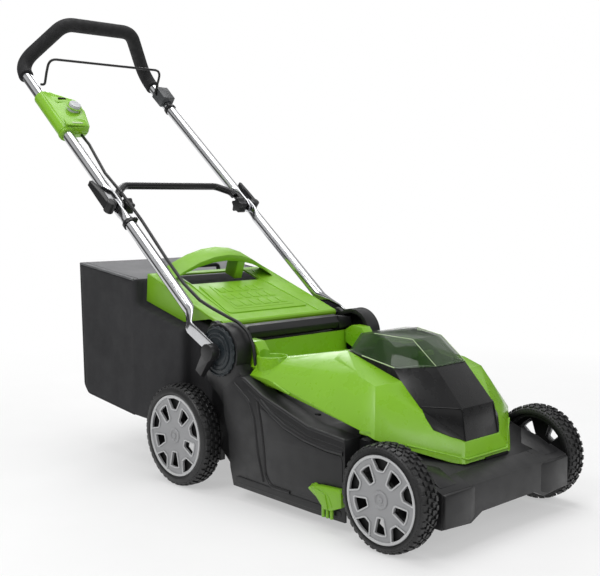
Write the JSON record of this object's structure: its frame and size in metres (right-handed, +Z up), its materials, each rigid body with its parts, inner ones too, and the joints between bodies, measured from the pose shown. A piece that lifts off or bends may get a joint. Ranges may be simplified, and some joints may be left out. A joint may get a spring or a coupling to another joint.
{
  "type": "push lawn mower",
  "caption": "Battery push lawn mower with folding tube handle, rear flap and grass bag, spoked wheels, adjustable cutting height and a clear battery cover.",
  "frame": {"origin": "bottom centre of the mower's bounding box, on the ground plane the tyres stand on", "axes": "+X forward (away from the person pushing), +Y to the mower's left, +Z up"},
  "size_m": [1.3114, 0.472, 1.0085],
  "materials": {
    "deck_plastic": "satin",
    "green_plastic": "gloss",
    "smoke_cover": "clear tinted gloss",
    "battery_plastic": "matte",
    "zinc_steel": "satin",
    "blade_steel": "satin",
    "bag_cloth": "woven",
    "black_trim": "satin",
    "chrome_tube": "polished",
    "grip_foam": "matte foam",
    "black_steel": "satin",
    "button_silver": "satin",
    "grey_plastic": "satin",
    "cable_rubber": "satin",
    "tyre_rubber": "matte",
    "wheel_plastic": "matte",
    "hubcap_silver": "satin"
  },
  "bodies": {
    "deck": {"deck_shell": "deck_plastic", "deck_nose": "deck_plastic", "deck_flank_right": "deck_plastic", "deck_flank_left": "deck_plastic", "motor_cover": "green_plastic", "front_shroud": "deck_plastic", "battery": "battery_plastic", "carry_bar": "deck_plastic", "motor_housing": "zinc_steel", "flap_hinge_rod": "zinc_steel", "pivot_plate_right": "black_trim", "pivot_plate_left": "black_trim", "grass_comb_right": "green_plastic", "grass_comb_left": "green_plastic", "power_cable_deck": "cable_rubber"},
    "rear_axle": {"rear_axle": "zinc_steel"},
    "front_axle": {"front_axle": "zinc_steel"},
    "height_lever": {"height_lever": "deck_plastic"},
    "blade": {"motor_shaft": "zinc_steel", "blade": "blade_steel", "blade_bolt": "zinc_steel"},
    "battery_release": {"battery_release": "green_plastic"},
    "battery_cover": {"battery_cover": "smoke_cover"},
    "rear_flap": {"rear_flap": "green_plastic"},
    "grass_bag": {"grass_bag": "bag_cloth", "bag_handle": "black_trim"},
    "lower_handle": {"lower_tube_right": "chrome_tube", "lower_tube_left": "chrome_tube", "crossbar": "black_steel", "mid_bolt_right": "zinc_steel", "mid_bolt_left": "zinc_steel", "cable_clip_right": "black_trim", "power_cable_lower": "cable_rubber"},
    "upper_handle": {"upper_tube": "chrome_tube", "foam_grip": "grip_foam", "switch_box": "green_plastic", "switch_lid": "green_plastic", "bail_bracket": "grey_plastic", "cable_clip_left": "black_trim", "power_cable_upper": "cable_rubber"},
    "bail": {"bail_bar": "black_steel"},
    "start_button": {"start_button": "button_silver"},
    "cam_lever_right": {"cam_lever_right": "black_trim"},
    "star_nut_right": {"star_nut_right": "black_trim"},
    "pivot_knob_right": {"pivot_knob_right": "black_trim"},
    "wheel_front_right": {"tyre_front_right": "tyre_rubber", "wheel_hub_front_right": "wheel_plastic", "hubcap_front_right": "hubcap_silver"},
    "wheel_rear_right": {"tyre_rear_right": "tyre_rubber", "wheel_hub_rear_right": "wheel_plastic", "hubcap_rear_right": "hubcap_silver"},
    "cam_lever_left": {"cam_lever_left": "black_trim"},
    "star_nut_left": {"star_nut_left": "black_trim"},
    "pivot_knob_left": {"pivot_knob_left": "black_trim"},
    "wheel_front_left": {"tyre_front_left": "tyre_rubber", "wheel_hub_front_left": "wheel_plastic", "hubcap_front_left": "hubcap_silver"},
    "wheel_rear_left": {"tyre_rear_left": "tyre_rubber", "wheel_hub_rear_left": "wheel_plastic", "hubcap_rear_left": "hubcap_silver"}
  },
  "joints": [
    {"name": "cutting_height", "type": "hinge", "parent": "deck", "child": "rear_axle", "pos_m": [0.06334, 0, 0.0739], "axis": [0, -1, 0], "range_deg": [0, 75]},
    {"name": "front_axle_turn", "type": "hinge", "parent": "deck", "child": "front_axle", "pos_m": [0.60334, 0, 0.0614], "axis": [0, -1, 0], "range_deg": [0, 75]},
    {"name": "height_lever_swing", "type": "hinge", "parent": "deck", "child": "height_lever", "pos_m": [0.19734, 0.211, 0.13], "axis": [0, 1, 0], "range_deg": [0, 30]},
    {"name": "wheel_front_right_roll", "type": "hinge", "parent": "front_axle", "child": "wheel_front_right", "pos_m": [0.56734, -0.2135, 0.0884], "axis": [0, 1, 0], "continuous": true},
    {"name": "wheel_front_left_roll", "type": "hinge", "parent": "front_axle", "child": "wheel_front_left", "pos_m": [0.56734, 0.2135, 0.0884], "axis": [0, 1, 0], "continuous": true},
    {"name": "wheel_rear_right_roll", "type": "hinge", "parent": "rear_axle", "child": "wheel_rear_right", "pos_m": [0.02734, -0.2135, 0.1009], "axis": [0, 1, 0], "continuous": true},
    {"name": "wheel_rear_left_roll", "type": "hinge", "parent": "rear_axle", "child": "wheel_rear_left", "pos_m": [0.02734, 0.2135, 0.1009], "axis": [0, 1, 0], "continuous": true},
    {"name": "blade_spin", "type": "hinge", "parent": "deck", "child": "blade", "pos_m": [0.31734, 0, 0.043], "axis": [0, 0, 1], "continuous": true},
    {"name": "battery_cover_open", "type": "hinge", "parent": "deck", "child": "battery_cover", "pos_m": [0.36034, 0, 0.293], "axis": [0, -1, 0], "range_deg": [0, 85]},
    {"name": "battery_release_press", "type": "slide", "parent": "deck", "child": "battery_release", "axis": [-1, 0, 0], "range_m": [0, 0.003], "stiffness_N_per_m": 400},
    {"name": "flap_open", "type": "hinge", "parent": "deck", "child": "rear_flap", "pos_m": [0.08234, 0, 0.319], "axis": [0, 1, 0], "range_deg": [0, 70], "stiffness_Nm_per_rad": 0.6, "springref_deg": -28.65},
    {"name": "bag_off", "type": "slide", "parent": "deck", "child": "grass_bag", "axis": [-1, 0, 0], "range_m": [0, 0.45]},
    {"name": "handle_fold", "type": "hinge", "parent": "deck", "child": "lower_handle", "pos_m": [0.12834, 0, 0.276], "axis": [0, 1, 0], "range_deg": [0, 138]},
    {"name": "upper_handle_fold", "type": "hinge", "parent": "lower_handle", "child": "upper_handle", "pos_m": [-0.23266, 0, 0.551], "axis": [0, -1, 0], "range_deg": [0, 65]},
    {"name": "cam_lever_right_flip", "type": "hinge", "parent": "lower_handle", "child": "cam_lever_right", "pos_m": [-0.23266, -0.2026, 0.551], "axis": [0.6347, 0, 0.7727], "range_deg": [0, 110]},
    {"name": "star_nut_right_turn", "type": "hinge", "parent": "lower_handle", "child": "star_nut_right", "pos_m": [-0.23266, -0.16, 0.551], "axis": [0, 1, 0], "continuous": true},
    {"name": "pivot_knob_right_turn", "type": "hinge", "parent": "deck", "child": "pivot_knob_right", "pos_m": [0.12834, -0.222, 0.276], "axis": [0, 1, 0], "range_deg": [0, 80]},
    {"name": "cam_lever_left_flip", "type": "hinge", "parent": "lower_handle", "child": "cam_lever_left", "pos_m": [-0.23266, 0.2026, 0.551], "axis": [-0.6347, 0, -0.7727], "range_deg": [0, 110]},
    {"name": "star_nut_left_turn", "type": "hinge", "parent": "lower_handle", "child": "star_nut_left", "pos_m": [-0.23266, 0.16, 0.551], "axis": [0, 1, 0], "continuous": true},
    {"name": "pivot_knob_left_turn", "type": "hinge", "parent": "deck", "child": "pivot_knob_left", "pos_m": [0.12834, 0.222, 0.276], "axis": [0, 1, 0], "range_deg": [0, 80]},
    {"name": "bail_squeeze", "type": "hinge", "parent": "upper_handle", "child": "bail", "pos_m": [-0.56866, 0, 0.84], "axis": [0, -1, 0], "range_deg": [0, 60], "stiffness_Nm_per_rad": 0.6, "springref_deg": -22.92},
    {"name": "start_button_press", "type": "slide", "parent": "upper_handle", "child": "start_button", "axis": [-0.6347, 0, -0.7727], "range_m": [0, 0.004], "stiffness_N_per_m": 500}
  ],
  "couplings": [
    {"joint": "front_axle_turn", "follows": "cutting_height", "ratio": 1},
    {"joint": "height_lever_swing", "follows": "cutting_height", "ratio": 0.4}
  ]
}
